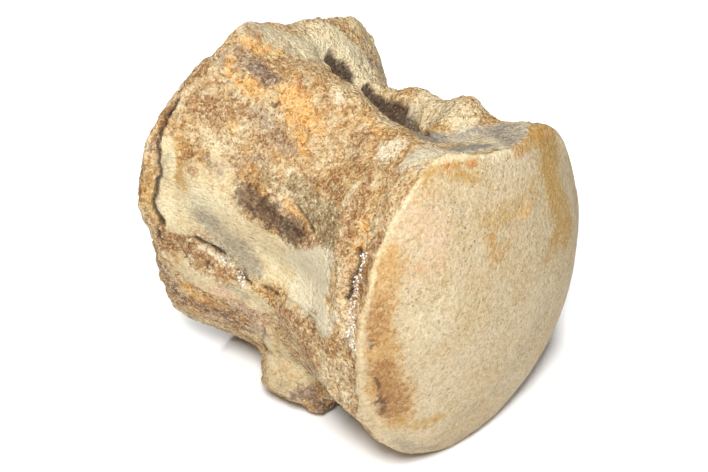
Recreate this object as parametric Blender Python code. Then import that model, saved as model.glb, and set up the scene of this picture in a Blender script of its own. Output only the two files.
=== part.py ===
"""A fossil mosasaur vertebra with its neural arch broken away, resting on its underside.

Bone frame: +X is the right side, +Y the front (the hollow cotyle), +Z the back (dorsal) side.
A place on the bone is a turn round the long axis (0 right, 90 dorsal, 180 left, 270 ventral, in degrees)
and a station along it, in metres from the cotyle's rim towards the condyle's.
"""

import math
from collections import namedtuple

import bmesh
import bpy
from mathutils import Matrix, Vector, noise

MM = 0.001

# Driving sizes
LENGTH = 63 * MM
CONDYLE_RADIUS = 38.5 * MM
COTYLE_RADIUS = 37 * MM
WAIST_RADIUS = 31 * MM
WAIST_STATION = 0.52
DOME_HEIGHT = 12.5 * MM
BOWL_RADIUS = 31 * MM
BOWL_DEPTH = 12.5 * MM
REST_ROLL = 21.5
REST_PITCH = -6.3
# How much of the lowest points is worn flat by what the bone rests on
WORN_FLAT = 1.1 * MM

BONE_COLOR = (0.66, 0.50, 0.30, 1)

# Grid of the solid
TURNS = 104
BOWL_ROWS = 9
FACE_ROWS = 4
SIDE_ROWS = 28
DOME_ROWS = 12

# A swelling, or with a negative height a hollow, along the line between two places on the bone.
# width is how far it spreads to each side, and edge is 2 for a round one and more for a steep one.
Swell = namedtuple("Swell", "start end width height edge")

SWELLS = {
    "left synapophysis stump": Swell((141, 0 * MM), (134, 14 * MM), 20 * MM, 11.6 * MM, 2),
    "peak of the left stump": Swell((109, -1 * MM), (113, 4 * MM), 6 * MM, 4.2 * MM, 2),
    "left stump's lower edge": Swell((158, 14 * MM), (167, 44 * MM), 4.5 * MM, 2 * MM, 2),
    "left front lip": Swell((156, 0 * MM), (172, 0 * MM), 5 * MM, 3 * MM, 2),
    "notch below the lip": Swell((185, 3 * MM), (188, 7 * MM), 4.5 * MM, -2.2 * MM, 2),
    "crack behind the lip": Swell((138, 9 * MM), (183, 8 * MM), 3 * MM, -1.2 * MM, 2),
    "right synapophysis stump": Swell((58, -6 * MM), (57, -4 * MM), 13 * MM, 12 * MM, 2),
    "right stump's lower part": Swell((20, 0 * MM), (12, 8 * MM), 13 * MM, 5 * MM, 2),
    "right synapophysis foot": Swell((335, 4 * MM), (335, 10 * MM), 11 * MM, 5 * MM, 2),
    "left pedicle": Swell((113, 24 * MM), (110, 32 * MM), 6.5 * MM, 5.6 * MM, 2),
    "left pedicle's inner knob": Swell((101, 26 * MM), (100, 29 * MM), 3.5 * MM, 1.8 * MM, 2),
    "left pedicle's rear": Swell((112, 36 * MM), (115, 47 * MM), 5.5 * MM, 3 * MM, 2),
    "right pedicle": Swell((65, 28 * MM), (71, 44 * MM), 6.5 * MM, 7.5 * MM, 2),
    "rock in the canal": Swell((92, -3 * MM), (84, 5 * MM), 12 * MM, 4.5 * MM, 2),
    "front pit of the canal": Swell((86, 14 * MM), (82, 17 * MM), 4 * MM, -6 * MM, 2),
    "rear pit of the canal": Swell((80, 23 * MM), (82, 35 * MM), 5.5 * MM, -9 * MM, 2),
    "back of the canal": Swell((88, 38 * MM), (86, 54 * MM), 9 * MM, -2 * MM, 2),
    "left flank hollow": Swell((180, 24 * MM), (176, 44 * MM), 8 * MM, -3.5 * MM, 2),
    "right flank hollow": Swell((352, 26 * MM), (356, 40 * MM), 10 * MM, -2.5 * MM, 2),
    "left lower crest": Swell((186, 6 * MM), (196, 40 * MM), 4.5 * MM, 1.5 * MM, 2),
    "left lower crest's rear": Swell((196, 40 * MM), (214, 58 * MM), 5 * MM, 1.5 * MM, 2),
    "left neck ridge": Swell((124, 43 * MM), (166, 52 * MM), 3.5 * MM, 1 * MM, 2),
    "left neck groove": Swell((136, 54 * MM), (172, 60 * MM), 3 * MM, -1.5 * MM, 2),
    "lower neck groove": Swell((172, 60 * MM), (212, 61 * MM), 3 * MM, -1.5 * MM, 2),
    "right neck groove": Swell((44, 55 * MM), (330, 60 * MM), 3 * MM, -1.5 * MM, 2),
    "broken lower rim": Swell((244, 4 * MM), (298, 4 * MM), 17 * MM, -5.4 * MM, 2),
    "hypapophysis": Swell((249, 27 * MM), (255, 31 * MM), 7 * MM, 8.1 * MM, 6),
    "base of the hypapophysis": Swell((268, 34 * MM), (272, 48 * MM), 11 * MM, 2 * MM, 2),
    "hollow behind the hypapophysis": Swell((228, 53 * MM), (262, 54 * MM), 6 * MM, -2 * MM, 2),
    "flat top of the condyle": Swell((94, 57 * MM), (94, 70 * MM), 12 * MM, -3.6 * MM, 4),
    "condyle's left corner": Swell((118, 62 * MM), (118, 66 * MM), 8 * MM, 1 * MM, 2),
    "condyle's right corner": Swell((58, 62 * MM), (58, 66 * MM), 9 * MM, 2.8 * MM, 2),
    "condyle's lower edge": Swell((284, 62 * MM), (300, 62 * MM), 7 * MM, 0.8 * MM, 2),
    "condyle's right side": Swell((5, 63 * MM), (20, 63 * MM), 16 * MM, 1.5 * MM, 2),
}
# Where the bone is broken or worn and how uneven it is there
ROUGH = {
    "left stump": Swell((140, 0 * MM), (128, 40 * MM), 20 * MM, 0.9 * MM, 3),
    "left pedicle": Swell((112, 4 * MM), (112, 46 * MM), 9 * MM, 0.9 * MM, 3),
    "right stump": Swell((50, 0 * MM), (50, 10 * MM), 24 * MM, 0.9 * MM, 3),
    "right pedicle": Swell((68, 10 * MM), (72, 46 * MM), 12 * MM, 0.9 * MM, 3),
    "left lower edge": Swell((215, 2 * MM), (205, 40 * MM), 12 * MM, 0.9 * MM, 3),
    "underside": Swell((245, 0 * MM), (300, 0 * MM), 14 * MM, 0.9 * MM, 3),
    "hypapophysis": Swell((252, 28 * MM), (262, 38 * MM), 13 * MM, 0.9 * MM, 3),
}
LEAST_ROUGH = 0.2 * MM
RIM_ROUGH = 0.9 * MM
# How far the cotyle's rim is chipped back, and between which turns
CHIP = Swell((192, 0 * MM), (212, 0 * MM), 7 * MM, 2.5 * MM, 2)
GRAIN = 7 * MM
# Radius at which the side is unrolled to measure how far apart two places are
UNROLLED_RADIUS = 34 * MM


def blend(low, high, value):
    """0 below low, 1 above high, and smooth between them."""
    share = min(1.0, max(0.0, (value - low) / (high - low)))
    return share * share * (3 - 2 * share)


def unrolled(turn, station, middle):
    """The place as a point on the flat, with turns counted from middle."""
    return Vector((math.radians((turn - middle + 180) % 360 - 180) * UNROLLED_RADIUS, station))


def rise(swell, turn, station):
    """How high the swelling stands at a place."""
    middle = swell.start[0]
    start, end = (unrolled(*point, middle) for point in (swell.start, swell.end))
    here = unrolled(turn, station, middle)
    run = end - start
    share = min(1.0, max(0.0, (here - start).dot(run) / run.length_squared))
    away = (here - start - share * run).length / swell.width
    return swell.height * math.exp(-(away**swell.edge))


def unevenness(turn, station):
    """How far broken or worn bone stands out at a place."""
    depth = LEAST_ROUGH + RIM_ROUGH * math.exp(-((station / (6 * MM)) ** 2))
    depth = max(depth, *(rise(area, turn, station) for area in ROUGH.values()))
    spot = on_bone(turn, UNROLLED_RADIUS, station) / GRAIN
    return depth * noise.fractal(spot, 0.7, 2, 3)


def side_radius(turn, station):
    """Distance from the long axis to the bone's side."""
    waist = WAIST_STATION * LENGTH
    if station < waist:
        radius = WAIST_RADIUS + (COTYLE_RADIUS - WAIST_RADIUS) * (1 - blend(0, waist, station))
    else:
        radius = WAIST_RADIUS + (CONDYLE_RADIUS - WAIST_RADIUS) * blend(waist, LENGTH, station)
    return radius + sum(rise(swell, turn, station) for swell in SWELLS.values()) + unevenness(turn, station)


def front_edge(turn):
    """Station of the cotyle's ragged rim."""
    spot = on_bone(turn, UNROLLED_RADIUS, 0) / GRAIN
    return rise(CHIP, turn, 0) + RIM_ROUGH * noise.noise(spot)


def dome_station(radius):
    """Station of the condyle's face at a distance from the long axis."""
    return LENGTH + DOME_HEIGHT * (1 - min(1, radius / CONDYLE_RADIUS) ** 2) ** 0.75


def on_bone(turn, radius, station):
    """The point at a turn, a distance from the long axis and a station."""
    angle = math.radians(turn)
    return Vector((radius * math.cos(angle), LENGTH / 2 - station, radius * math.sin(angle)))


def place(turn, row):
    """Where a grid point lies: bowl, front face, side or dome."""
    if row <= BOWL_ROWS:
        share = row / BOWL_ROWS
        return on_bone(turn, share * BOWL_RADIUS, BOWL_DEPTH * (1 - share**2))
    row -= BOWL_ROWS
    if row <= FACE_ROWS:
        share = row / (FACE_ROWS + 1)
        edge = side_radius(turn, 0)
        return on_bone(turn, BOWL_RADIUS + (edge - BOWL_RADIUS) * share, share * front_edge(turn))
    row -= FACE_ROWS
    if row <= SIDE_ROWS:
        share = row / SIDE_ROWS
        station = dome_station(side_radius(turn, LENGTH)) * share
        return on_bone(turn, side_radius(turn, station), station + (1 - share) * front_edge(turn))
    row -= SIDE_ROWS
    radius = side_radius(turn, LENGTH) * (1 - row / DOME_ROWS)
    return on_bone(turn, radius, dome_station(radius))


def make_bone():
    """The whole bone as one closed solid, in the bone frame."""
    rows = BOWL_ROWS + FACE_ROWS + SIDE_ROWS + DOME_ROWS
    bm = bmesh.new()
    bmesh.ops.create_uvsphere(bm, u_segments=TURNS, v_segments=rows, radius=1)
    for vert in bm.verts:
        row = round(math.acos(max(-1, min(1, vert.co.z))) / math.pi * rows)
        turn = math.degrees(math.atan2(-vert.co.y, vert.co.x))
        vert.co = place(turn, row)
    mesh = bpy.data.meshes.new("vertebra")
    bm.to_mesh(mesh)
    bm.free()
    mesh.materials.append(fossil_bone())
    for face in mesh.polygons:
        face.use_smooth = True
    return bpy.data.objects.new("vertebra", mesh)


def fossil_bone():
    """Sandy buff bone turned to stone, dull and fine-pored."""
    stone = bpy.data.materials.new("fossil bone")
    stone.use_nodes = True
    shader = stone.node_tree.nodes["Principled BSDF"]
    shader.inputs["Base Color"].default_value = BONE_COLOR
    shader.inputs["Roughness"].default_value = 0.75
    shader.inputs["Metallic"].default_value = 0
    stone.diffuse_color = BONE_COLOR
    return stone


def lay_down(bone):
    """Turns the bone to its rest, flattens what it stands on and centres it over the origin."""
    pose = Matrix.Rotation(math.radians(REST_PITCH), 4, "X") @ Matrix.Rotation(math.radians(REST_ROLL), 4, "Y")
    spots = [pose @ vert.co for vert in bone.data.vertices]
    lows = [min(spot[axis] for spot in spots) for axis in range(3)]
    highs = [max(spot[axis] for spot in spots) for axis in range(3)]
    ground = lows[2] + WORN_FLAT
    for vert, spot in zip(bone.data.vertices, spots):
        if spot.z < ground:
            vert.co = pose.inverted() @ Vector((spot.x, spot.y, ground))
    middle = Vector(((lows[0] + highs[0]) / 2, (lows[1] + highs[1]) / 2, ground))
    bone.matrix_world = Matrix.Translation(-middle) @ pose


def main():
    for old in list(bpy.data.objects):
        bpy.data.objects.remove(old)
    parts = bpy.data.collections.new("mosasaur vertebra")
    bpy.context.scene.collection.children.link(parts)
    bone = make_bone()
    parts.objects.link(bone)
    lay_down(bone)


main()
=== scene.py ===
import math
import random

import bmesh
import bpy
import numpy as np
from mathutils import Matrix, Vector, noise


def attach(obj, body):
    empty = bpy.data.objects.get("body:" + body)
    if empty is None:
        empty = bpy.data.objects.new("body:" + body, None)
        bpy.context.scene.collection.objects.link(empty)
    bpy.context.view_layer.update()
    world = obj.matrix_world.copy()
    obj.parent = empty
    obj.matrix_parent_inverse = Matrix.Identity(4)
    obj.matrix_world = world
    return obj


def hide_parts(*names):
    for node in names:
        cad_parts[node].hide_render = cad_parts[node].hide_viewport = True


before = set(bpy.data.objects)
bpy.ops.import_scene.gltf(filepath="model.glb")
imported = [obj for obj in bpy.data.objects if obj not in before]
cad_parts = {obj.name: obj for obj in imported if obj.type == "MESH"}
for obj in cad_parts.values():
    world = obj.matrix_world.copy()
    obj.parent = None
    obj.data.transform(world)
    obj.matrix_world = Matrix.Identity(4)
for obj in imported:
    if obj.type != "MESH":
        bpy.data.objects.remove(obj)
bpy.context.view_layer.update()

mm = 0.001
print("frame loaded")

# The bone lies rolled on its side. A place on it is a turn round its long axis in degrees (0 right, 90 up,
# 180 left, 270 below) and a station in mm from the hollow front end's rim towards the domed end's.
bonePose = {
    "centre": (-0.001898, 0.003897, 0.034817),
    "pitch": -6.3,
    "roll": 21.5,
    "length": 63,          # mm, rim to rim
    "unrolledRadius": 34,  # mm, radius at which distances over the side are measured
}

toRow = (
    Matrix.Translation(bonePose["centre"])
    @ Matrix.Rotation(math.radians(bonePose["pitch"]), 4, "X")
    @ Matrix.Rotation(math.radians(bonePose["roll"]), 4, "Y")
)
toBone = toRow.inverted()

view = {
    "azimuth": -48.8,
    "elevation": 40,
    "distance": 0.60,
    "metresPerPixel": 0.00022,  # at the domed end's rim
    "domedEndAt": (468, 292),   # pixel where the middle of that rim shows
    "frame": (708, 472),
}


def placeCamera(v):
    azimuth, elevation = math.radians(v["azimuth"]), math.radians(v["elevation"])
    back = Vector((
        math.sin(azimuth) * math.cos(elevation),
        -math.cos(azimuth) * math.cos(elevation),
        math.sin(elevation),
    ))
    right = Vector((math.cos(azimuth), math.sin(azimuth), 0))
    up = back.cross(right)
    seen = toRow @ Vector((0, -bonePose["length"] / 2 * mm, 0))
    across = (v["domedEndAt"][0] - v["frame"][0] / 2) * v["metresPerPixel"]
    down = (v["domedEndAt"][1] - v["frame"][1] / 2) * v["metresPerPixel"]
    lens = bpy.data.cameras.new("camera")
    lens.sensor_width = 36
    lens.lens = 36 * v["distance"] / (v["frame"][0] * v["metresPerPixel"])
    camera = bpy.data.objects.new("camera", lens)
    bpy.context.scene.collection.objects.link(camera)
    turned = Matrix((right, up, back)).transposed().to_4x4()
    camera.matrix_world = Matrix.Translation(seen - right * across + up * down + back * v["distance"]) @ turned
    bpy.context.scene.camera = camera


placeCamera(view)
print("camera placed")

# Bone surface

boneSurface = {
    "voxel": 0.42,         # mm, size of the finest shapes in the mesh
    "triangles": 192000,
    "smoothings": 8,
    "flakeSize": 2.8,      # mm, pieces that broken bone splits into
    "flakeStep": 0.40,     # mm from one piece's level to the next
    "lumps": 0.20,         # mm, unevenness of broken bone
    "grit": 0.16,          # mm, its finest roughness
    "pitSize": 1.7,        # mm from one hollow of the spongy bone to the next
    "pitDepth": 0.40,      # mm
    "sheet": 0.40,         # mm, thickness of the smooth outer layer over the spongy bone
    "crust": 0.30,         # mm, thickness of the stone left in the hollow end
    "bowlLumps": 0.15,     # mm, unevenness of the hollow end
    "bowlPits": 0.20,      # mm
    "crackDepth": 0.9,     # mm
    "ridgeHeight": 0.55,   # mm
    "holeDepth": 1.2,      # mm, added to the dark hollows under the broken arch
    "wander": 1.5,         # mm by which a wide mark's edge wanders
    "bowlRadius": 31.0,    # mm
    "bowlDepth": 14.5,     # mm
    "domeHeight": 12.5,    # mm, the domed end's middle above its rim
    "domeRadius": 38.5,    # mm
    "seed": 5,             # for the tilt of the flakes
}

# how softly each kind of mark fades at its edge, from 0 to 1
softness = {"cortex": 0.18, "rock": 0.3, "dark": 0.4, "crack": 0.45, "ridge": 0.6, "calcite": 0.4,
            "white": 0.35, "purple": 0.5, "umber": 0.6, "gray": 0.95, "khaki": 0.5, "chalk": 0.3}
usualSoftness = 0.75
holeSteadiness = 0.35  # share of the wander that the dark holes' edges have

# kind of mark: places as (turn, station), width in mm, strength
sideMarks = {
    "left flank": ("cortex", ((164, 12), (167, 19), (174, 24), (180, 30)), 5.5, 1.0),
    "flank behind the lip": ("cortex", ((155, 6), (163, 7), (171, 7)), 2.0, 1.0),
    "flank at the notch": ("cortex", ((171, 7), (175, 10)), 2.8, 1.0),
    "flank under the arch": ("cortex", ((153, 18), (156, 21), (159, 24)), 2.2, 0.7),
    "rear flank": ("cortex", ((172, 28), (177, 35), (175, 44)), 4.5, 1.0),
    "pale wedge": ("cortex", ((175, 35), (168, 47)), 3.0, 1.0),
    "pale wedge's middle": ("cortex", ((182, 36), (173, 48), (180, 46), (185, 41)), 3.4, 1.0),
    "pale wedge's point": ("cortex", ((187, 44), (182, 49), (185, 51), (187, 52)), 2.4, 1.0),
    "patch below the crest": ("cortex", ((190, 10), (193, 12), (194, 13)), 2.2, 0.9),
    "long patch below the crest": ("cortex", ((195, 17), (195, 24), (198, 30)), 2.8, 0.9),
    "hypapophysis side": ("cortex", ((216, 30), (237, 29), (243, 33)), 3.6, 0.7),
    "far hump": ("cortex", ((81, 7), (75, 11)), 2.6, 0.6),
    "far hump's edge": ("cortex", ((66, 5), (54, 5), (49, 7)), 1.8, 0.9),
    "saddle over the canal": ("rock", ((109, 6), (104, 9), (98, 11), (90, 11)), 4.2, 1.0),
    "canal's near floor": ("rock", ((75, 31), (93, 45)), 2.5, 1.0),
    "canal's rear floor": ("rock", ((96, 46), (83, 53), (75, 59)), 4.4, 1.0),
    "canal's rear edge": ("rock", ((122, 58), (116, 61), (96, 61), (82, 63), (75, 64)), 3.0, 1.0),
    # painted shade: the dark holes' colour stands for the shade deep in these hollows, which are also sunk
    "first hole": ("dark", ((85, 12), (81, 14), (78, 15)), 1.5, 1.0),
    "second hole": ("dark", ((72.7, 18.5), (71.6, 20.7), (73.2, 24.8), (74.7, 30.0)), 1.4, 1.0),
    "second hole's tail": ("dark", ((74.2, 29.0), (76.7, 35.2), (91.5, 45.2)), 1.0, 0.75),
    "front purple patch": ("mauve", ((124, 7), (121, 8), (121, 11)), 2.3, 1.0),
    "rear purple patch": ("purple", ((122, 13), (123, 15), (123, 18)), 1.8, 1.0),
    "purple join": ("mauve", ((125.9, 7.4), (123.9, 9.4)), 1.3, 0.9),
    "small purple spot": ("mauve", ((132.6, 14.4),), 1.0, 0.7),
    "purple brown mottle": ("mauve", ((153, 16), (153, 19)), 1.5, 0.7),
    "purple brown streak": ("mauve", ((149.7, 21.5), (145.8, 23.7), (144.8, 25.5)), 1.3, 0.6),
    "purple under the arch": ("mauve", ((134, 20), (136, 25), (136, 28)), 2.2, 0.75),
    "dull middle": ("mauve", ((133, 25), (142, 25)), 2.0, 0.45),
    "small dark spot": ("purple", ((142.5, 36.0),), 0.8, 0.7),
    "violet spot on the far hump": ("mauve", ((76.9, 11.9), (64.2, 12.2), (49.8, 8.7)), 1.1, 0.75),
    "end of the hypapophysis": ("purple", ((245.7, 32.9), (247.2, 35.8), (260.9, 37.0)), 1.2, 0.8),
    "hypapophysis gray end": ("gray", ((241, 29), (245, 32)), 1.8, 0.5),
    "lower left edge": ("purple", ((195, 5), (205, 6), (210, 8)), 1.6, 0.7),
    "lower edge": ("purple", ((210.5, 12.8), (212.2, 18.6), (218.0, 24.2)), 1.4, 0.7),
    "violet lower body": ("mauve", ((205, 22), (206, 26), (215, 28)), 2.4, 0.8),
    "front gray band": ("gray", ((167, 15), (170, 17), (171, 18)), 2.6, 0.95),
    "rear gray band": ("gray", ((176, 20), (180, 23), (185, 26)), 3.0, 1.0),
    "gray behind the lip": ("gray", ((156.2, 6.4), (162.6, 7.0)), 1.1, 0.45),
    "gray at the notch": ("gray", ((168.1, 5.9), (171.0, 6.4)), 0.9, 0.5),
    "gray lower body": ("gray", ((194, 21), (195, 26)), 1.8, 0.6),
    # the dark shelf: umber stain with painted shadow under the overhanging edge above it
    "dark shelf front": ("umber", ((154.9, 23.3), (156.8, 26.4)), 1.4, 0.35),
    "dark shelf": ("umber", ((157, 26), (159, 30), (161, 34), (163, 37)), 2.5, 1.0),
    "dark shelf core": ("umber", ((159, 28), (160, 32), (162, 35)), 2.2, 1.0),
    "brown beside the shelf": ("brown", ((161, 37), (163, 40), (164, 43)), 2.0, 1.0),
    "khaki by the shelf": ("khaki", ((146, 34), (150, 38), (155, 42)), 2.8, 1.0),
    "khaki before the neck": ("khaki", ((152, 40), (154, 46), (161, 47)), 3.2, 1.0),
    "khaki above": ("khaki", ((148, 27), (151, 30)), 2.0, 0.6),
    # orange shelf edge: orange colour with a painted highlight on the lit edge over the shelf's shadow
    "orange shelf edge": ("orange", ((153.4, 27.3), (155.3, 29.3)), 0.9, 0.8),
    "orange shelf end": ("orange", ((154.9, 33.6), (156.7, 36.7), (158.8, 39.5)), 1.2, 0.7),
    "peak orange": ("orange", ((116.7, 7.1), (115.2, 8.7)), 1.4, 0.9),
    "orange behind the peak": ("orange", ((113, 9), (111, 12)), 1.6, 0.7),
    "peak brown": ("brown", ((112.6, 5.0), (112.6, 7.2)), 1.3, 0.8),
    "orange by the purple": ("orange", ((123.5, 7.2), (127.7, 9.2)), 1.4, 0.8),
    "orange below the purple": ("orange", ((129, 13), (128, 16), (129, 18)), 1.5, 0.8),
    "orange saddle edge": ("rust", ((118.0, 21.5), (119.3, 23.9), (120.4, 25.2)), 0.8, 0.6),
    "brown upper ridge": ("brown", ((134.7, 3.2), (131.5, 4.0), (128.1, 3.8)), 1.3, 0.9),
    "brown arch": ("brown", ((140, 8), (138, 13), (136, 17)), 2.2, 0.7),
    "brown arch left": ("brown", ((137.3, 6.5), (139.7, 8.0)), 1.4, 0.5),
    "brown spot": ("brown", ((135.0, 11.4),), 1.2, 0.6),
    "orange spot": ("orange", ((140, 18),), 1.5, 0.6),
    "brown finger": ("ochre", ((151, 8), (157, 10), (163, 12)), 1.5, 1.0),
    "brown in the finger": ("brown", ((152.3, 9.9), (157.3, 13.8)), 1.0, 0.7),
    "dot by the far side": ("umber", ((128.3, 22.2),), 0.9, 0.8),
    "orange patch": ("orange", ((124, 23), (124, 26), (126, 27)), 2.4, 1.0),
    "orange upper patch": ("orange", ((125, 29), (125, 32)), 1.5, 0.7),
    "orange streak": ("orange", ((130.2, 28.6), (134.5, 31.0)), 1.1, 0.7),
    "orange by the pedicle": ("orange", ((115.2, 39.9), (117.2, 43.6)), 1.4, 0.7),
    "brown by the pedicle": ("brown", ((118, 41), (127, 41), (132, 47)), 1.6, 0.6),
    "brown neck patch": ("brown", ((139, 40), (145, 45)), 2.0, 0.8),
    "brown above the neck": ("brown", ((130.6, 49.0), (136.4, 49.5)), 1.2, 0.7),
    "white spot": ("white", ((124, 48), (122, 50), (118, 51)), 1.5, 1.0),
    "white spot near the hole": ("white", ((113.9, 29.9), (114.9, 33.3)), 1.2, 0.6),
    "pale specks by the rim": ("pale", ((125, 58), (121, 59), (118, 60)), 1.5, 0.8),
    "pale light streak": ("pale", ((138.3, 47.8), (143.4, 48.0), (148.1, 47.9)), 0.9, 0.9),
    "pale upper flank": ("pale", ((165, 12), (163, 17), (163, 21)), 2.2, 0.6),
    "pale flank in front": ("pale", ((168, 8), (174, 8)), 1.8, 0.6),
    "pale rear flank": ("pale", ((174, 27), (179, 31), (184, 34)), 1.6, 0.5),
    "pale under the arch": ("pale", ((146, 13), (147, 16)), 2.2, 0.6),
    "neck band": ("brown", ((141, 51), (149, 52), (156, 53), (161, 54)), 1.6, 1.0),
    "neck band right": ("orange", ((149, 55), (155, 57)), 1.6, 0.6),
    "neck brown by the rim": ("brown", ((152, 61), (160, 61), (170, 61)), 1.6, 0.9),
    "pink ridge": ("pink", ((163.8, 55.3), (169.0, 55.9)), 0.9, 0.8),
    "lower neck": ("brown", ((191, 60), (199, 64), (217, 65)), 2.0, 0.6),
    "orange low in the neck": ("orange", ((194.7, 62.1), (202.5, 64.7)), 1.2, 0.5),
    "below the crest": ("brown", ((183, 7), (183, 13), (186, 17), (189, 21)), 1.8, 0.9),
    "umber below the crest": ("umber", ((186.9, 17.8),), 0.8, 0.8),
    "orange corner": ("orange", ((200, 11), (203, 13), (207, 15)), 1.6, 0.8),
    "orange under the front": ("ochre", ((186, 8), (191, 9)), 1.6, 0.6),
    "diagonal band": ("brown", ((193, 38), (195, 43), (200, 47), (206, 51)), 1.7, 0.8),
    "diagonal band dots": ("umber", ((217.4, 41.5), (221.3, 42.1)), 0.9, 0.7),
    "brown by the wedge's point": ("brown", ((190.9, 43.4), (194.0, 48.2), (195.8, 55.8)), 1.3, 0.6),
    "lower lip brown": ("brown", ((208, 10), (209, 17), (212, 23)), 2.0, 0.8),
    "lip ochre": ("ochre", ((161.5, 4.0), (168.7, 4.1), (174.6, 5.5)), 1.2, 0.8),
    "lip brown": ("brown", ((143.2, 3.4), (149.5, 3.8), (156.3, 3.7)), 0.8, 0.8),
    "lip's brown edge": ("brown", ((161.5, 1.5), (169.6, 3.0)), 0.6, 0.7),
    "brown below the lip": ("brown", ((178.5, 6.2), (185.2, 6.8)), 1.2, 0.8),
    "yellow on the hypapophysis": ("olive", ((214.0, 32.6), (232.1, 28.9)), 0.9, 0.7),
    "orange on the hypapophysis": ("orange", ((241.4, 26.9), (245.6, 28.2)), 1.0, 0.4),
    "yellow edge of the far hump": ("olive", ((63.5, 5.2), (52.9, 5.5), (48.6, 7.5)), 1.0, 0.7),
    "orange on the far hump": ("orange", ((86.0, 5.9), (84.5, 7.8)), 1.2, 0.5),
    "crest sheet": ("white", ((181.1, 15.5), (182.8, 18.0), (184.1, 19.7)), 0.6, 0.8),
    "crest calcite": ("calcite", ((183.6, 20.0), (184.9, 20.9)), 0.7, 0.8),
    "crest calcite rear": ("calcite", ((188.2, 23.8), (192.1, 26.4)), 0.6, 0.9),
    "groove crystals": ("calcite", ((159.4, 59.4), (166.0, 59.8), (172.2, 59.0)), 1.0, 0.6),
    "lower groove crystals": ("calcite", ((176.2, 59.3), (180.5, 60.3), (189.0, 62.0)), 1.3, 0.7),
    "rim calcite": ("white", ((208.8, 64.6), (215.1, 64.4)), 0.6, 0.9),
    # the cracks are cut into the surface and also darkened with painted shade
    "crack behind the lip": (
        "crack",
        ((140.8, 3.7), (146.3, 4.0), (150.5, 4.0), (153.9, 4.4), (158.0, 5.3),
         (161.6, 5.8), (166.5, 5.5), (170.0, 5.3), (172.5, 6.0), (176.8, 6.9)),
        0.34, 1.0,
    ),
    "low end of the lip crack": ("crack", ((179.5, 5.7), (183.6, 5.2)), 0.4, 0.9),
    "second lip crack": ("crack", ((144.2, 4.0), (147.2, 3.8)), 0.35, 0.8),
    "short lip crack": ("crack", ((137.0, 2.1), (139.6, 3.0)), 0.35, 0.7),
    "crest crack": ("crack", ((178.0, 14.0), (179.0, 16.1), (180.1, 18.1), (181.6, 20.1)), 0.34, 1.0),
    "crest crack rear": ("crack", ((188.0, 24.2), (190.7, 27.4)), 0.35, 0.8),
    "crest crack end": ("crack", ((189.8, 30.7), (190.5, 34.5)), 0.35, 0.8),
    "left neck slit": ("crack", ((165.2, 52.8), (169.1, 53.3), (173.9, 53.7)), 0.4, 0.9),
    "right neck groove": ("crack", ((157.8, 56.8), (162.0, 58.2), (168.4, 58.1), (174.9, 57.8)), 0.55, 1.0),
    "shelf step": ("crack", ((158.0, 29.1), (161.0, 33.7), (163.5, 39.6)), 0.9, 0.5),
    "crack by the shelf": ("crack", ((153.1, 35.7), (156.5, 39.3), (159.4, 42.4)), 0.4, 0.7),
    "lip ridge": ("ridge", ((155.6, 4.0), (160.7, 3.5), (167.3, 4.0), (172.8, 5.2), (177.6, 6.6)), 1.0, 0.7),
    "ridge above the neck": (
        "ridge",
        ((138.9, 49.5), (145.6, 49.9), (152.2, 50.3),
         (158.1, 51.5), (162.9, 53.0)),
        0.7, 0.8,
    ),
    "ridge in the groove": ("ridge", ((163.4, 55.9), (170.3, 56.0), (176.3, 55.4)), 1.0, 0.8),
    "wedge's lower edge": ("crack", ((189.3, 36.3), (189.3, 42.6), (191.6, 48.5)), 0.3, 0.3),
    "hypapophysis edge": ("crack", ((212.1, 29.1), (235.9, 23.5)), 0.4, 0.5),
    "chalky wedge": ("chalk", ((174, 38), (167, 49), (177, 48), (183, 40), (186, 46), (187, 52)), 3.4, 0.9),
    "pale edge of the canal": ("pale", ((119.1, 61.5), (105.1, 63.1), (89.9, 64.1)), 0.8, 0.7),
    "gray specks by the rim": ("chalk", ((127, 56), (123, 57), (118, 58)), 1.5, 0.7),
    "yellow floor by the hole": ("olive", ((75.5, 34.4), (86.7, 43.1), (81.7, 46.4)), 0.9, 0.6),
    "ochre neck": ("ochre", ((141, 54), (152, 55), (159, 56)), 3.0, 0.6),
    "ochre below the shelf": ("ochre", ((166.4, 38.6), (166.0, 41.9)), 1.2, 0.6),
    # painted light: lightens the far hump, which faces away from the lamps
    "pale far hump": ("pale", ((85, 8), (77, 11), (73, 13)), 4.5, 1.0),
    "ochre far ridge": ("ochre", ((67, 25), (70, 37), (76, 48)), 2.5, 0.5),
    "pale far ridge": ("pale", ((39, 7), (72, 36), (79, 48)), 2.6, 0.8),
    "pink lower body": ("pink", ((197, 19), (202, 24), (209, 28)), 2.4, 0.8),
    "yellow on the canal floor": ("pale", ((82.0, 57.5), (90.6, 64.9)), 1.3, 0.8),
    "gray by the second hole": ("gray", ((76, 33), (98, 47), (92, 51)), 2.2, 0.7),
}

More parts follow.
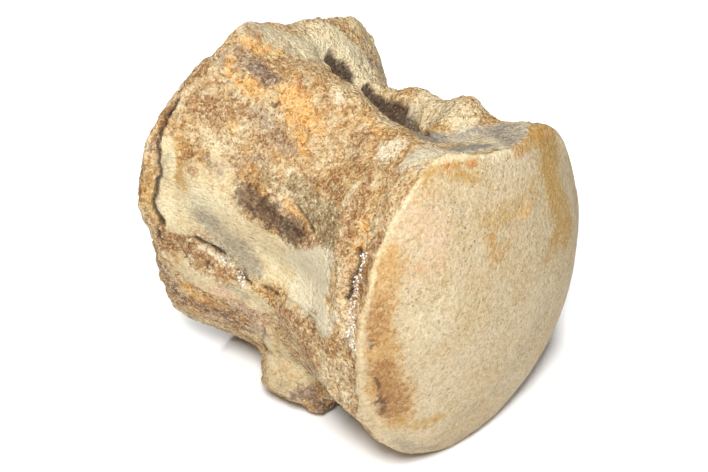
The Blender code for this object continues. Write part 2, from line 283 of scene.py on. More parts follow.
# the same on the domed end, with places as (right, up) in mm from the long axis
domeMarks = {
    "ochre right band": ("olive", ((14, 29), (16, 23), (22, 14)), 4.2, 1.0),
    "ochre low right band": ("olive", ((19, 16), (15, 13)), 2.6, 0.9),
    "ochre top corner": ("ochre", ((3, 35), (10, 36), (18, 35)), 1.9, 1.0),
    "olive top corner": ("olive", ((12, 36), (19, 31)), 3.2, 0.9),
    "orange spots at the top": ("rust", ((-19.3, 32.3), (-16.8, 32.4)), 0.9, 0.9),
    "orange spot at the top": ("rust", ((-13.3, 32.5), (-11.1, 32.9)), 0.9, 0.9),
    "orange below the spots": ("olive", ((-17.5, 30.8), (-11.9, 30.5)), 1.2, 0.7),
    "olive under the top edge": (
        "olive",
        ((-24.7, 30.2), (-22.0, 32.3),
         (-18.2, 33.5), (-10.6, 34.0)),
        1.2, 0.8,
    ),
    "pale top edge": ("pale", ((-19.1, 34.1), (-10.0, 34.3), (-2.3, 34.5)), 0.7, 0.8),
    "ochre spot": ("ochre", ((-9.7, 17.8), (-9.4, 15.3)), 1.4, 1.0),
    "ochre under the spot": ("ochre", ((-10, 14), (-5, 15)), 1.8, 0.5),
    "ochre dot": ("orange", ((0.3, 20.8), (3.4, 22.4)), 1.1, 0.7),
    "ochre dot right": ("ochre", ((11.5, 9.6),), 1.2, 0.5),
    "ochre upper middle": ("olive", ((-9, 21), (1, 24), (6, 26)), 2.8, 0.5),
    "ochre top left": ("ochre", ((-27, 27), (-23, 29)), 2.0, 0.5),
    "rim ochre": ("ochre", ((-34, 14), (-36, 7), (-35, -1), (-32, -9), (-28, -16), (-23, -23)), 3.4, 1.0),
    "rim brown": ("brown", ((-36, 4), (-35, -2)), 2.2, 0.7),
    "rim brown low": ("brown", ((-32, -10), (-29, -15), (-25, -21)), 2.6, 1.0),
    "rim dark": ("umber", ((-35.7, -4.7),), 0.9, 0.9),
    "rim dark low": ("umber", ((-29.6, -17.8), (-27.7, -21.2)), 1.2, 0.7),
    "rim yellow": ("ochre", ((-33.7, -12.2), (-31.5, -17.4)), 1.0, 0.9),
    "ochre low": ("olive", ((-22, -25), (-17, -26), (-12, -25)), 1.8, 0.7),
    "rim line": (
        "pale",
        ((-24.5, 30.4), (-27.8, 26.9), (-31.4, 22.3), (-34.0, 17.1),
         (-36.2, 11.8), (-37.5, 5.4), (-37.5, -2.5), (-36.1, -9.6)),
        0.45, 0.6,
    ),
    "rim line low": ("pale", ((-32.6, -17.4), (-29.4, -21.9), (-25.3, -26.0)), 0.45, 0.5),
    "gray low": ("gray", ((-19.3, -30.7), (-9.9, -34.8), (-4.0, -34.8)), 1.2, 0.6),
    "gray low right": ("gray", ((14, -5), (5, -19), (-7, -27)), 4.0, 0.3),
    "gray specks": ("gray", ((-24, 28), (-18, 23)), 4.0, 0.25),
    "pink upper left": ("pink", ((-28, 23), (-23, 21), (-25, 14)), 4.5, 0.5),
    "pale centre": ("pale", ((-20, 5), (-26, -1)), 4.0, 0.4),
    "pink edge": ("pink", ((35.2, 18.6), (38.9, 6.1), (32.3, -1.2)), 1.2, 0.8),
    "crack by the rim": ("crack", ((-32.6, -12.6), (-31.2, -14.4), (-30.8, -16.2)), 0.3, 0.7),
    "pale upper edge": ("pale", ((-20.7, 33.4), (-16.2, 34.7), (-7.0, 34.3), (-0.8, 34.5)), 0.8, 0.9),
    "olive low middle": ("olive", ((-15, 9), (-6, 11)), 3.0, 0.3),
    "ochre streaks": ("ochre", ((-30, 12), (-23, 14)), 2.0, 0.35),
}

# the same on the hollow end
bowlMarks = {
    "rust at the top": ("rust", ((-8, 27), (2, 28)), 2.0, 0.7),
    "ochre left": ("ochre", ((-27, 10), (-28, -2), (-24, -14)), 3.0, 0.9),
    "ochre low": ("ochre", ((-8, -27), (6, -28)), 2.5, 0.8),
    "brown low right": ("brown", ((18, -20), (24, -10)), 2.4, 0.8),
    "brown upper left": ("brown", ((-20, 20), (-14, 24)), 1.8, 0.7),
    "olive middle": ("olive", ((-6, 8), (4, 12), (10, 6)), 4.0, 0.5),
    "gray low": ("gray", ((2, -6), (10, -10)), 4.5, 0.5),
    "pink upper right": ("pink", ((14, 18), (20, 12)), 4.0, 0.6),
    "umber spot": ("umber", ((-14, -16), (-12, -17)), 1.2, 0.7),
    "long crack": (
        "crack",
        ((-26, 16), (-22, 15.5), (-17, 11.5), (-13, 11.5), (-8, 6), (-5, 5),
         (-3, 0), (0.5, -2), (1.5, -7), (5, -10), (5, -15)),
        0.32, 0.65,
    ),
    "side crack": ("crack", ((-4, 4.5), (0, 6.5), (3.5, 5.5), (8, 9), (10, 8.5)), 0.28, 0.5),
}

# marks on the far side and underside, places as on the near side
farMarks = {
    "upper brown": ("brown", ((22, 18), (12, 28)), 3.0, 0.7),
    "upper orange": ("orange", ((35, 40), (28, 50)), 3.0, 0.7),
    "upper mauve": ("mauve", ((42, 18), (33, 26)), 2.6, 0.7),
    "umber spots": ("umber", ((18, 44), (14, 46)), 1.2, 0.7),
    "front ochre": ("ochre", ((352, 6), (336, 8)), 2.5, 0.8),
    "flank gray": ("gray", ((351, 26), (344, 38)), 4.0, 0.7),
    "flank ochre": ("ochre", ((2, 46), (352, 50)), 2.4, 0.7),
    "flank crack": (
        "crack",
        ((14, 12), (10, 16), (4, 17), (0, 21),
         (354, 22), (350, 27), (346, 28)),
        0.34, 0.7,
    ),
    "rear crack": ("crack", ((24, 58), (18, 56.5), (8, 57.5), (0, 56.5), (353, 59)), 0.34, 0.7),
    "lower brown": ("brown", ((318, 14), (306, 28)), 3.0, 0.7),
    "lower ochre": ("ochre", ((284, 46), (302, 54)), 3.0, 0.8),
    "lower purple": ("purple", ((312, 40), (322, 46)), 1.8, 0.7),
    "lower sheet": ("cortex", ((292, 14), (300, 22), (302, 36)), 3.4, 0.9),
    "lower crystals": ("calcite", ((296, 60), (310, 61)), 1.0, 0.6),
}


def newObject(name, mesh):
    made = bpy.data.objects.new(name, mesh)
    bpy.context.scene.collection.objects.link(made)
    return made


def step(low, high, value):  # 0 below low, 1 above high, smooth between
    share = np.clip((value - low) / (high - low), 0, 1)
    return share * share * (3 - 2 * share)


def wander(points, size, octaves=1):  # soft noise from -1 to 1, its lumps size mm across
    return np.array([noise.fractal(p, 1, 2, octaves) for p in (points / size).tolist()])


def breakUp(points, size):  # splits space into pieces: a level and tilt for each, and how near its edge
    levels, edges = [], []
    for place in (points / size).tolist():
        (near, next_), (middle, _) = (pair[:2] for pair in noise.voronoi(place))
        tilt = noise.noise_vector(middle * 3.7)
        levels.append(noise.noise(middle * 2.3) + tilt.dot(Vector(place) - middle))
        edges.append(next_ - near)
    return np.array(levels), np.array(edges)


def cells(points, size):  # 0 in the middle of each cell, growing towards its walls
    return np.array([noise.voronoi(place)[0][0] for place in (points / size).tolist()])


def denseCopy(settings):
    bm = bmesh.new()
    bm.from_mesh(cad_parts["vertebra"].data)
    bmesh.ops.remove_doubles(bm, verts=bm.verts, dist=0.01 * mm)
    mesh = bpy.data.meshes.new("solid")
    bm.to_mesh(mesh)
    bm.free()
    bone = newObject("fossilBone", mesh)
    remesh = bone.modifiers.new("remesh", "REMESH")
    remesh.mode = "VOXEL"
    remesh.voxel_size = settings["voxel"] * mm
    fine = bpy.data.meshes.new_from_object(bone.evaluated_get(bpy.context.evaluated_depsgraph_get()))
    bone.modifiers.clear()
    bone.data = fine
    bm = bmesh.new()
    bm.from_mesh(fine)
    for _ in range(settings["smoothings"]):
        bmesh.ops.smooth_vert(bm, verts=bm.verts, factor=0.5, use_axis_x=True, use_axis_y=True, use_axis_z=True)
    bm.to_mesh(fine)
    bm.free()
    return bone


def vertexArray(mesh, what):
    values = np.empty(len(mesh.vertices) * 3, np.float32)
    if what == "co":
        mesh.vertices.foreach_get("co", values)
    else:
        mesh.vertex_normals.foreach_get("vector", values)
    return values.reshape(-1, 3).astype(float)


def awayFrom(path, spots):  # distance in mm of each spot from a path of places on a flat
    nearest = np.full(len(spots), 1e9)
    for first, last in zip(path, path[1:] or path):
        run = last - first
        along = np.clip((spots - first) @ run / max(run @ run, 1e-9), 0, 1)
        nearest = np.minimum(nearest, np.linalg.norm(spots - first - along[:, None] * run, axis=1))
    return nearest


def unrolled(turn, station, middle):
    across = np.radians((turn - middle + 180) % 360 - 180) * bonePose["unrolledRadius"]
    return np.stack([across, station], axis=-1)


def markAt(kind, path, width, strength, spots, jitter):
    soft = softness.get(kind, usualSoftness)
    moved = spots + jitter * min(1, max(0.25, width / 2)) * (holeSteadiness if kind == "dark" else 1)
    return strength * (1 - step(width * (1 - soft), width * (1 + soft), awayFrom(path, moved)))


def gatherMarks(turn, station, points, jitter, onSide, onDome, inBowl):
    kinds = {}
    for kind, path, width, strength in [*sideMarks.values(), *farMarks.values()]:
        middle = path[0][0]
        spots = unrolled(turn, station, middle)
        line = [unrolled(np.array(float(t)), np.array(float(s)), middle) for t, s in path]
        mark = markAt(kind, line, width, strength, spots, jitter) * onSide
        kinds[kind] = np.maximum(kinds.get(kind, 0), mark)
    for marks, end in (domeMarks, onDome), (bowlMarks, inBowl):
        for kind, path, width, strength in marks.values():
            line = [np.array(place, float) for place in path]
            mark = markAt(kind, line, width, strength, points[:, [0, 2]], jitter) * end
            kinds[kind] = np.maximum(kinds.get(kind, 0), mark)
    return kinds


def keepMask(mesh, name, values):
    kept = mesh.attributes.new(name, "FLOAT", "POINT")
    kept.data.foreach_set("value", np.clip(values, 0, 1).astype(np.float32))


def ageSurface(bone, settings):
    noise.seed_set(settings["seed"])
    mesh = bone.data
    row = vertexArray(mesh, "co")
    normals = vertexArray(mesh, "normal")
    points = (row @ np.array(toBone.to_3x3()).T + np.array(toBone.translation)) / mm
    turn = np.degrees(np.arctan2(points[:, 2], points[:, 0])) % 360
    station = bonePose["length"] / 2 - points[:, 1]
    radius = np.hypot(points[:, 0], points[:, 2])
    coarse = wander(points, 6, 2)
    middling = wander(points + 50, 2.5, 3)
    fine = wander(points + 90, 1.0, 2)
    jitter = settings["wander"] * np.stack([0.7 * coarse + 0.3 * fine, middling + 0.2 * fine], axis=-1)
    dome = settings["domeHeight"] * (1 - np.minimum(1, radius / settings["domeRadius"]) ** 2) ** 0.75
    onDome = step(-0.9, -0.4, station - bonePose["length"] - dome + 0.2 * middling)
    uneven = radius - settings["bowlRadius"] + 0.8 * coarse + 0.6 * middling
    inBowl = (1 - step(-0.4, 0.4, uneven)) * (1 - step(-0.5, 0.5, station - settings["bowlDepth"]))
    onSide = (1 - inBowl) * (1 - onDome)
    kinds = gatherMarks(turn, station, points, jitter, onSide, onDome, inBowl)
    ends = np.maximum(onDome, inBowl)
    crust = inBowl * step(0.05, 0.2, wander(points + 170, 9, 3))  # stone still lying in the hollow end
    rock = np.maximum(kinds.pop("rock") * (1 - ends), crust)
    joint = ends * (1 - crust)
    cortex = np.maximum(kinds.pop("cortex"), farCortex(turn, station, middling)) * onSide * (1 - rock)
    broken = (1 - cortex) * (1 - rock) * (1 - ends)
    crack, ridge = kinds.pop("crack"), kinds.pop("ridge")
    levels, edges = breakUp(points + 0.5 * middling[:, None], settings["flakeSize"])
    crevice = 1 - step(0.0, 0.14, edges)
    pits = 1 - step(0.12, 0.5, cells(points + 0.5 * fine[:, None], settings["pitSize"]))
    pits *= step(-0.2, 0.3, wander(points + 130, 4, 2))
    spongy = settings["lumps"] * (coarse + middling) + settings["flakeStep"] * (levels - 0.5 * crevice)
    spongy += settings["grit"] * fine - settings["pitDepth"] * pits
    raised = broken * spongy
    raised += cortex * (settings["sheet"] + 0.10 * coarse + 0.04 * middling)
    raised += rock * (0.2 * middling + 0.08 * fine) + joint * (0.10 * coarse + 0.03 * fine)
    raised += settings["crust"] * crust
    raised += inBowl * (settings["bowlLumps"] * middling - settings["bowlPits"] * pits)
    raised -= settings["crackDepth"] * crack
    raised += settings["ridgeHeight"] * ridge
    raised -= settings["holeDepth"] * kinds["dark"]
    row += normals * raised[:, None] * mm
    row[:, 2] = np.maximum(row[:, 2], 0)
    mesh.vertices.foreach_set("co", row.astype(np.float32).ravel())
    mesh.update()
    mesh.shade_smooth()
    masks = {
        "cortex": cortex,
        "joint": joint,
        "rock": rock,
        "canal": rock * step(28, 42, station),
        "crack": crack,
        # pits: where the pits and the crevices between flakes get painted shade
        "pits": broken * np.maximum(pits, 0.7 * crevice),
        "flake": 0.5 + 0.6 * levels,
        **kinds,
    }
    for name, values in masks.items():
        keepMask(mesh, name, values)
    thinner = bone.modifiers.new("thinner", "DECIMATE")
    thinner.ratio = settings["triangles"] / (2 * len(mesh.polygons))
    return sorted(kinds)


def farCortex(turn, station, middling):  # smooth bone on the flank that lies away from the camera
    across = np.abs((turn - 352 + 180) % 360 - 180) + 8 * middling
    return (1 - step(26, 34, across)) * step(8, 12, station) * (1 - step(48, 54, station))


bone = denseCopy(boneSurface)
print("bone surface:", len(bone.data.vertices), "points")
markKinds = ageSurface(bone, boneSurface)
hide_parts("vertebra")
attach(bone, "root")
print("bone aged:", ", ".join(markKinds))

# Crystals of calcite grown in the cracks

crystals = {
    "number": 150,
    "smallest": 0.10,     # mm
    "largest": 0.30,      # mm
    "seed": 7,
    "clearOfFloor": 1.0,  # mm
    "leastMark": 0.3,     # how strong the calcite mark is where a crystal may stand
    "middleOut": 0.15,    # how far its middle stands out, as a share of its size
}


def growCrystals(settings):
    rng = random.Random(settings["seed"])
    mesh = bone.data
    wanted = np.empty(len(mesh.vertices), np.float32)
    mesh.attributes["calcite"].data.foreach_get("value", wanted)
    spots = vertexArray(mesh, "co")
    clear = spots[:, 2] > settings["clearOfFloor"] * mm
    likely = np.flatnonzero((wanted > settings["leastMark"]) & clear)
    likely = likely[np.lexsort(spots[likely].T)].tolist()
    bm = bmesh.new()
    for index in rng.sample(likely, min(settings["number"], len(likely))):
        size = rng.uniform(settings["smallest"], settings["largest"]) * mm
        spot = mesh.vertices[index].co + mesh.vertices[index].normal * size * settings["middleOut"]
        turned = Matrix.Rotation(rng.uniform(0, 6.28), 4, "X") @ Matrix.Rotation(rng.uniform(0, 6.28), 4, "Z")
        lean = Matrix.Shear("XY", 4, (rng.uniform(0.1, 0.35), rng.uniform(0.1, 0.35)))
        bmesh.ops.create_cube(bm, size=size, matrix=Matrix.Translation(spot) @ turned @ lean)
    low = min(vert.co.z for vert in bm.verts)
    bmesh.ops.recalc_face_normals(bm, faces=bm.faces)
    grown = bpy.data.meshes.new("calciteCrystals")
    bm.to_mesh(grown)
    bm.free()
    return newObject("calciteCrystals", grown), low


crystalPiece, lowestCrystal = growCrystals(crystals)
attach(crystalPiece, "root")
print("crystals grown, the lowest at", round(lowestCrystal / mm, 1), "mm")

# Materials


def colour(red, green, blue):  # screen values from 0 to 255, as linear light
    values = [c / 255 for c in (red, green, blue)]
    return tuple(c / 12.92 if c <= 0.04045 else ((c + 0.055) / 1.055) ** 2.4 for c in values) + (1,)


class Sheet:  # a node tree, with short ways to add to it
    def __init__(self, tree):
        self.tree = tree

    def add(self, kind, **settings):
        node = self.tree.nodes.new(kind)
        for name, value in settings.items():
            setattr(node, name, value)
        return node

    def plug(self, source, socket):
        if isinstance(source, bpy.types.NodeSocket):
            self.tree.links.new(source, socket)
        else:
            socket.default_value = source

    def maths(self, operation, *values, clamp=False):
        node = self.add("ShaderNodeMath", operation=operation, use_clamp=clamp)
        for value, socket in zip(values, node.inputs):
            self.plug(value, socket)
        return node.outputs[0]

    def blend(self, factor, low, high, how="MIX"):
        node = self.add("ShaderNodeMix", data_type="RGBA", blend_type=how)
        self.plug(factor, node.inputs[0])
        self.plug(low, node.inputs[6])
        self.plug(high, node.inputs[7])
        return node.outputs[2]

    def group(self, tree, **values):
        node = self.add("ShaderNodeGroup", node_tree=tree)
        for name, value in values.items():
            self.plug(value, node.inputs[name])
        return node.outputs

    def mask(self, name):
        return self.add("ShaderNodeAttribute", attribute_name=name).outputs["Fac"]


def newGroup(name, inputs, outputs):
    tree = bpy.data.node_groups.new(name, "ShaderNodeTree")
    for label, kind, value in inputs:
        socket = tree.interface.new_socket(label, in_out="INPUT", socket_type=kind)
        if value is not None:
            socket.default_value = value
    for label, kind in outputs:
        tree.interface.new_socket(label, in_out="OUTPUT", socket_type=kind)
    sheet = Sheet(tree)
    return sheet, sheet.add("NodeGroupInput").outputs, sheet.add("NodeGroupOutput").inputs


def makeGrain():  # speckle from 0 to 1 at a size in mm, sharper the nearer Low and High are
    sheet, given, out = newGroup(
        "stoneGrain",
        [
            ("Vector", "NodeSocketVector", None),
            ("Size", "NodeSocketFloat", 1.0),
            ("Detail", "NodeSocketFloat", 3.0),
            ("Low", "NodeSocketFloat", 0.35),
            ("High", "NodeSocketFloat", 0.65),
        ],
        [("Mask", "NodeSocketFloat")],
    )
    speckle = sheet.add("ShaderNodeTexNoise")
    sheet.plug(given["Vector"], speckle.inputs["Vector"])
    sheet.plug(sheet.maths("DIVIDE", 1000.0, given["Size"]), speckle.inputs["Scale"])
    sheet.plug(given["Detail"], speckle.inputs["Detail"])
    reach = sheet.add("ShaderNodeMapRange", interpolation_type="SMOOTHSTEP")
    sheet.plug(speckle.outputs[0], reach.inputs[0])
    sheet.plug(given["Low"], reach.inputs[1])
    sheet.plug(given["High"], reach.inputs[2])
    sheet.plug(reach.outputs[0], out["Mask"])
    return sheet.tree


def makeSand():  # grains of a size in mm: a shade and a tint from 0 to 1 for each, and its rounded height
    sheet, given, out = newGroup(
        "sandGrains",
        [("Vector", "NodeSocketVector", None), ("Size", "NodeSocketFloat", 0.5)],
        [("Tone", "NodeSocketFloat"), ("Tint", "NodeSocketFloat"), ("Height", "NodeSocketFloat")],
    )
    scale = sheet.maths("DIVIDE", 1000.0, given["Size"])
    wobble = sheet.add("ShaderNodeTexNoise")
    sheet.plug(given["Vector"], wobble.inputs["Vector"])
    sheet.plug(scale, wobble.inputs["Scale"])
    spread = sheet.add("ShaderNodeVectorMath", operation="SCALE")
    sheet.plug(wobble.outputs["Color"], spread.inputs[0])
    sheet.plug(sheet.maths("MULTIPLY", given["Size"], 0.0009), spread.inputs["Scale"])
    moved = sheet.add("ShaderNodeVectorMath", operation="ADD")
    sheet.plug(given["Vector"], moved.inputs[0])
    sheet.plug(spread.outputs[0], moved.inputs[1])
    cell = sheet.add("ShaderNodeTexVoronoi")
    sheet.plug(moved.outputs[0], cell.inputs["Vector"])
    sheet.plug(scale, cell.inputs["Scale"])
    parts = sheet.add("ShaderNodeSeparateColor")
    sheet.plug(cell.outputs["Color"], parts.inputs[0])
    sheet.plug(parts.outputs[0], out["Tone"])
    sheet.plug(parts.outputs[2], out["Tint"])
    reach = sheet.add("ShaderNodeMapRange", interpolation_type="SMOOTHSTEP")
    sheet.plug(cell.outputs["Distance"], reach.inputs[0])
    sheet.plug(0.8, reach.inputs[1])
    sheet.plug(0.0, reach.inputs[2])
    sheet.plug(sheet.maths("MULTIPLY_ADD", parts.outputs[1], 0.6, reach.outputs[0]), out["Height"])
    return sheet.tree


def makePores():  # small round pores at a spacing in mm, 1 in the pore
    sheet, given, out = newGroup(
        "bonePores",
        [
            ("Vector", "NodeSocketVector", None),
            ("Spacing", "NodeSocketFloat", 1.0),
            ("Width", "NodeSocketFloat", 0.3),
        ],
        [("Mask", "NodeSocketFloat")],
    )
    cell = sheet.add("ShaderNodeTexVoronoi")
    sheet.plug(given["Vector"], cell.inputs["Vector"])
    sheet.plug(sheet.maths("DIVIDE", 1000.0, given["Spacing"]), cell.inputs["Scale"])
    reach = sheet.add("ShaderNodeMapRange", interpolation_type="SMOOTHSTEP")
    sheet.plug(cell.outputs["Distance"], reach.inputs[0])
    sheet.plug(given["Width"], reach.inputs[1])
    sheet.plug(sheet.maths("MULTIPLY", given["Width"], 0.4), reach.inputs[2])
    sheet.plug(reach.outputs[0], out["Mask"])
    return sheet.tree


def makeMarkCover():  # how strongly a mark colours a spot, its edge broken up by a speckle
    sheet, given, out = newGroup(
        "raggedMarkCover",
        [
            ("Mark", "NodeSocketFloat", 0.0),
            ("Speckle", "NodeSocketFloat", 0.5),
            ("Strength", "NodeSocketFloat", 1.0),
            ("Ragged", "NodeSocketFloat", 0.5),
        ],
        [("Mask", "NodeSocketFloat")],
    )
    speckle = sheet.maths("MULTIPLY", sheet.maths("SUBTRACT", given["Speckle"], 0.5), given["Ragged"])
    shifted = sheet.maths("ADD", given["Mark"], speckle)
    reach = sheet.add("ShaderNodeMapRange", interpolation_type="SMOOTHSTEP")
    sheet.plug(shifted, reach.inputs[0])
    sheet.plug(0.05, reach.inputs[1])
    sheet.plug(0.95, reach.inputs[2])
    edge = sheet.maths("MULTIPLY", reach.outputs[0], given["Strength"])
    gone = sheet.maths("MULTIPLY", given["Mark"], 6.0, clamp=True)
    sheet.plug(sheet.maths("MULTIPLY", edge, gone), out["Mask"])
    return sheet.tree


grain, sand, pores, markCover = makeGrain(), makeSand(), makePores(), makeMarkCover()

boneColours = {
    "spongyPale": colour(202, 175, 129),
    "spongySand": colour(188, 151, 99),
    "spongyRust": colour(164, 122, 66),
    "spongyCream": colour(206, 193, 160),
    # spongyPit: painted shade in the pits and crevices
    "spongyPit": colour(123, 88, 52),
    "grainDark": colour(158, 122, 88),
    # pale grain specks, partly painted glints
    "grainPaleAndGlint": colour(220, 211, 174),
    "grainWarm": colour(202, 155, 96),
    "cortexPale": colour(203, 190, 154),
    "cortexTan": colour(185, 169, 131),
    "jointPale": colour(188, 178, 148),
    "jointTan": colour(172, 155, 113),
    "jointPink": colour(186, 164, 142),
    # jointPore: painted shade in the dome's pores
    "jointPore": colour(130, 103, 71),
    "rockPale": colour(214, 202, 167),
    "rockDark": colour(160, 148, 122),
    "rockBlue": colour(129, 127, 120),
    "roughness": 0.72,
    "bumpHeight": 0.35,  # mm
}

# marks in the order they lie: stains, and painted shade and light where noted, each with its colour, how much
# it covers and how ragged its edge is
stainAndShadeColours = {
    "khaki": (colour(139, 119, 84), 0.85, 0.3),
    "gray": (colour(128, 119, 103), 0.78, 0.3),
    "mauve": (colour(153, 132, 109), 0.75, 0.35),
    "pink": (colour(199, 164, 134), 0.6, 0.4),
    "olive": (colour(168, 130, 54), 0.82, 0.4),
    "ochre": (colour(172, 129, 64), 0.75, 0.5),
    "orange": (colour(212, 159, 82), 0.75, 0.5),
    "rust": (colour(178, 119, 60), 0.75, 0.7),
    "brown": (colour(141, 98, 54), 0.8, 0.5),
    # umber: stain, and painted shadow on the dark shelf
    "umber": (colour(94, 69, 49), 0.9, 0.5),
    "purple": (colour(118, 95, 84), 0.8, 0.5),
    "chalk": (colour(199, 188, 161), 0.8, 0.15),
    # pale: pale bone, and painted light on the far hump
    "pale": (colour(214, 202, 167), 0.7, 0.3),
    "white": (colour(228, 217, 191), 0.65, 0.6),
    "calcite": (colour(210, 202, 184), 0.3, 0.5),
    # painted shade: colour of the dark holes, also used to darken the cracks
    "dark": (colour(61, 42, 28), 0.95, 0.2),
}


def fossilBone(look, stainsAndShade):
    material = bpy.data.materials.new("fossilBone")
    material.use_nodes = True
    sheet = Sheet(material.node_tree)
    shader = material.node_tree.nodes["Principled BSDF"]
    here = sheet.add("ShaderNodeTexCoord").outputs["Object"]
    fine = sheet.group(grain, Vector=here, Size=1.2, Detail=4.0, Low=0.40, High=0.60)["Mask"]
    wide = sheet.group(grain, Vector=here, Size=4.0, Detail=5.0, Low=0.38, High=0.62)["Mask"]
    broad = sheet.group(grain, Vector=here, Size=11.0, Detail=5.0, Low=0.40, High=0.60)["Mask"]
    small = sheet.group(sand, Vector=here, Size=0.38)
    large = sheet.group(sand, Vector=here, Size=0.85)
    drawn = sheet.add("ShaderNodeVectorMath", operation="MULTIPLY")
    sheet.plug(here, drawn.inputs[0])
    sheet.plug((1, 0.12, 1), drawn.inputs[1])
    fibre = sheet.group(grain, Vector=drawn.outputs[0], Size=0.6, Detail=3.0, Low=0.36, High=0.64)["Mask"]
    pore = sheet.group(pores, Vector=here, Spacing=1.1, Width=0.30)["Mask"]
    cortex, joint, rock = sheet.mask("cortex"), sheet.mask("joint"), sheet.mask("rock")
    pit, flake = sheet.mask("pits"), sheet.mask("flake")

    spongy = sheet.blend(wide, look["spongySand"], look["spongyPale"])
    rust = sheet.maths("MULTIPLY", sheet.maths("SUBTRACT", 1.0, flake), broad, clamp=True)
    spongy = sheet.blend(rust, spongy, look["spongyRust"])
    cream = sheet.maths("MULTIPLY", flake, sheet.maths("SUBTRACT", 1.0, broad), clamp=True)
    spongy = sheet.blend(cream, spongy, look["spongyCream"])
    # painted shade: the pits and the crevices between flakes are darkened
    spongy = sheet.blend(sheet.maths("MULTIPLY", pit, 0.6), spongy, look["spongyPit"])
    smooth = sheet.blend(sheet.maths("MULTIPLY_ADD", fibre, 0.45, sheet.maths("MULTIPLY", wide, 0.55)),
                         look["cortexTan"], look["cortexPale"])
    domed = sheet.blend(sheet.maths("MULTIPLY_ADD", fine, 0.5, sheet.maths("MULTIPLY", broad, 0.5)),
                        look["jointTan"], look["jointPale"])
    domed = sheet.blend(sheet.maths("MULTIPLY", large["Tone"], 0.5), domed, look["jointPink"])
    # painted shade in the dome's pores, which the bump also sinks
    holes = sheet.maths("MULTIPLY", pore, sheet.maths("MULTIPLY", wide, 0.7))
    domed = sheet.blend(holes, domed, look["jointPore"])
    infill = sheet.blend(sheet.maths("MULTIPLY_ADD", fine, 0.5, sheet.maths("MULTIPLY", wide, 0.5)),
                         look["rockDark"], look["rockPale"])
    blueish = sheet.maths("MULTIPLY", sheet.mask("canal"), sheet.maths("MULTIPLY_ADD", broad, 0.6, 0.4))
    infill = sheet.blend(blueish, infill, look["rockBlue"])

    paint = sheet.blend(cortex, spongy, smooth)
    paint = sheet.blend(rock, paint, infill)
    paint = sheet.blend(joint, paint, domed)
    paint = sheet.blend(sheet.maths("MULTIPLY", large["Tint"], 0.22), paint, look["grainWarm"])
    for name, (tint, cover, ragged) in stainsAndShade.items():
        cover = sheet.group(markCover, Mark=sheet.mask(name), Speckle=fine, Strength=cover, Ragged=ragged)["Mask"]
        paint = sheet.blend(cover, paint, tint)
    # painted shade: the cracks are darkened towards the dark holes' colour
    paint = sheet.blend(sheet.maths("MULTIPLY", sheet.mask("crack"), 0.9), paint, stainsAndShade["dark"][0])
    smoothed = sheet.maths("MAXIMUM", cortex, sheet.maths("MAXIMUM", joint, sheet.maths("MULTIPLY", rock, 0.7)))
    grainy = sheet.maths("MULTIPLY_ADD", smoothed, -0.58, 1.0)
    tone = sheet.maths("MULTIPLY_ADD", large["Tone"], 0.4, sheet.maths("MULTIPLY", small["Tone"], 0.6))
    shade = sheet.maths("MULTIPLY", sheet.maths("MULTIPLY_ADD", tone, -2.4, 1.2, clamp=True), grainy)
    paint = sheet.blend(sheet.maths("MULTIPLY", shade, 0.8), paint, look["grainDark"], "MULTIPLY")
    # pale specks, partly pale grains and partly painted glints, kept out of the painted-shade hollows of the
    # cracks, dark holes and dark shelf
    hollow = sheet.maths("MAXIMUM", sheet.maths("MAXIMUM", sheet.mask("crack"), sheet.mask("dark")),
                         sheet.mask("umber"))
    light = sheet.maths("MULTIPLY", sheet.maths("MULTIPLY_ADD", tone, 3.0, -1.8, clamp=True),
                        sheet.maths("MULTIPLY", grainy, sheet.maths("MULTIPLY_ADD", hollow, -0.8, 1.0)))
    paint = sheet.blend(sheet.maths("MULTIPLY", light, 0.5), paint, look["grainPaleAndGlint"])
    sheet.plug(paint, shader.inputs["Base Color"])

    height = sheet.maths("MULTIPLY_ADD", small["Height"], 0.5, large["Height"])
    height = sheet.maths("MULTIPLY", sheet.maths("MULTIPLY_ADD", fine, 0.8, height), grainy)
    height = sheet.maths("MULTIPLY_ADD", sheet.maths("MULTIPLY", fibre, cortex), 0.5, height)
    height = sheet.maths("SUBTRACT", height, sheet.maths("MULTIPLY", holes, 0.9))
    bump = sheet.add("ShaderNodeBump")
    bump.inputs["Strength"].default_value = 0.8
    bump.inputs["Distance"].default_value = look["bumpHeight"] * mm
    sheet.plug(height, bump.inputs["Height"])
    sheet.plug(bump.outputs[0], shader.inputs["Normal"])
    dull = sheet.maths("MULTIPLY_ADD", fine, 0.15, look["roughness"])
    sheet.plug(sheet.maths("SUBTRACT", dull, sheet.maths("MULTIPLY", light, 0.45)), shader.inputs["Roughness"])
    shader.inputs["Specular IOR Level"].default_value = 0.35
    return material


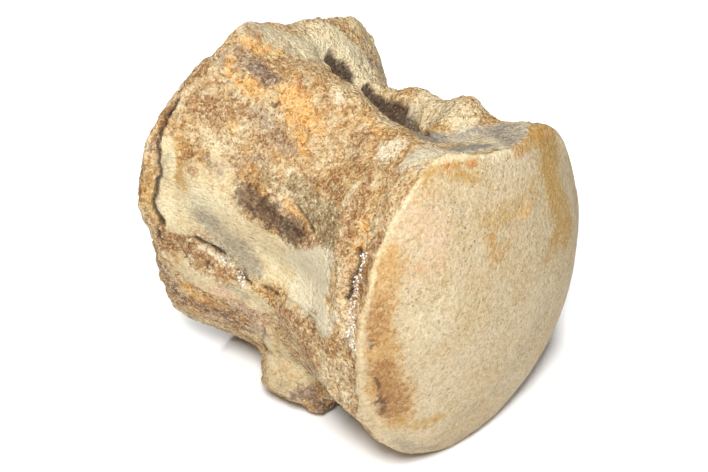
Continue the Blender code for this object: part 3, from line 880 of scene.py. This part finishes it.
def calcite():
    material = bpy.data.materials.new("calcite")
    material.use_nodes = True
    sheet = Sheet(material.node_tree)
    shader = material.node_tree.nodes["Principled BSDF"]
    here = sheet.add("ShaderNodeTexCoord").outputs["Object"]
    cloudy = sheet.group(grain, Vector=here, Size=0.8, Detail=2.0, Low=0.3, High=0.7)["Mask"]
    sheet.plug(sheet.blend(cloudy, colour(214, 204, 186), colour(250, 248, 242)), shader.inputs["Base Color"])
    sheet.plug(sheet.maths("MULTIPLY_ADD", cloudy, 0.25, 0.12), shader.inputs["Roughness"])
    shader.inputs["Specular IOR Level"].default_value = 0.7
    return material


bone.data.materials.clear()
bone.data.materials.append(fossilBone(boneColours, stainAndShadeColours))
crystalPiece.data.materials.append(calcite())
print("materials made")

# Floor and light

studio = {
    "floorSize": 3.0,
    "floorColour": (0.93, 0.93, 0.93, 1),
    "skyLight": 0.04,
    "lights": {  # power in watts, size and place in metres
        "key": (11.9, 0.20, (-0.47, -0.36, 0.76)),
        "overhead": (8.2, 0.38, (0.0, 0.16, 1.1)),
        "right": (0.5, 0.30, (-0.10, -0.85, 0.45)),
    },
}


def addLight(name, power, size, spot):
    lamp = bpy.data.lights.new(name, "AREA")
    lamp.energy = power
    lamp.size = size
    light = newObject(name, lamp)
    light.location = spot
    light.rotation_euler = Vector(spot).to_track_quat("Z", "Y").to_euler()


def buildStudio(s):
    bm = bmesh.new()
    bmesh.ops.create_grid(bm, x_segments=1, y_segments=1, size=s["floorSize"] / 2)
    mesh = bpy.data.meshes.new("floor")
    bm.to_mesh(mesh)
    bm.free()
    floor = newObject("floor", mesh)
    paper = bpy.data.materials.new("paper")
    paper.use_nodes = True
    shader = paper.node_tree.nodes["Principled BSDF"]
    shader.inputs["Base Color"].default_value = s["floorColour"]
    shader.inputs["Roughness"].default_value = 0.9
    shader.inputs["Specular IOR Level"].default_value = 0.1
    mesh.materials.append(paper)
    for name, (power, size, spot) in s["lights"].items():
        addLight(name, power, size, spot)
    world = bpy.data.worlds.new("studio")
    world.use_nodes = True
    world.node_tree.nodes["Background"].inputs["Color"].default_value = (1, 1, 1, 1)
    world.node_tree.nodes["Background"].inputs["Strength"].default_value = s["skyLight"]
    bpy.context.scene.world = world
    bpy.context.scene.view_settings.view_transform = "Standard"


buildStudio(studio)
print("studio built")
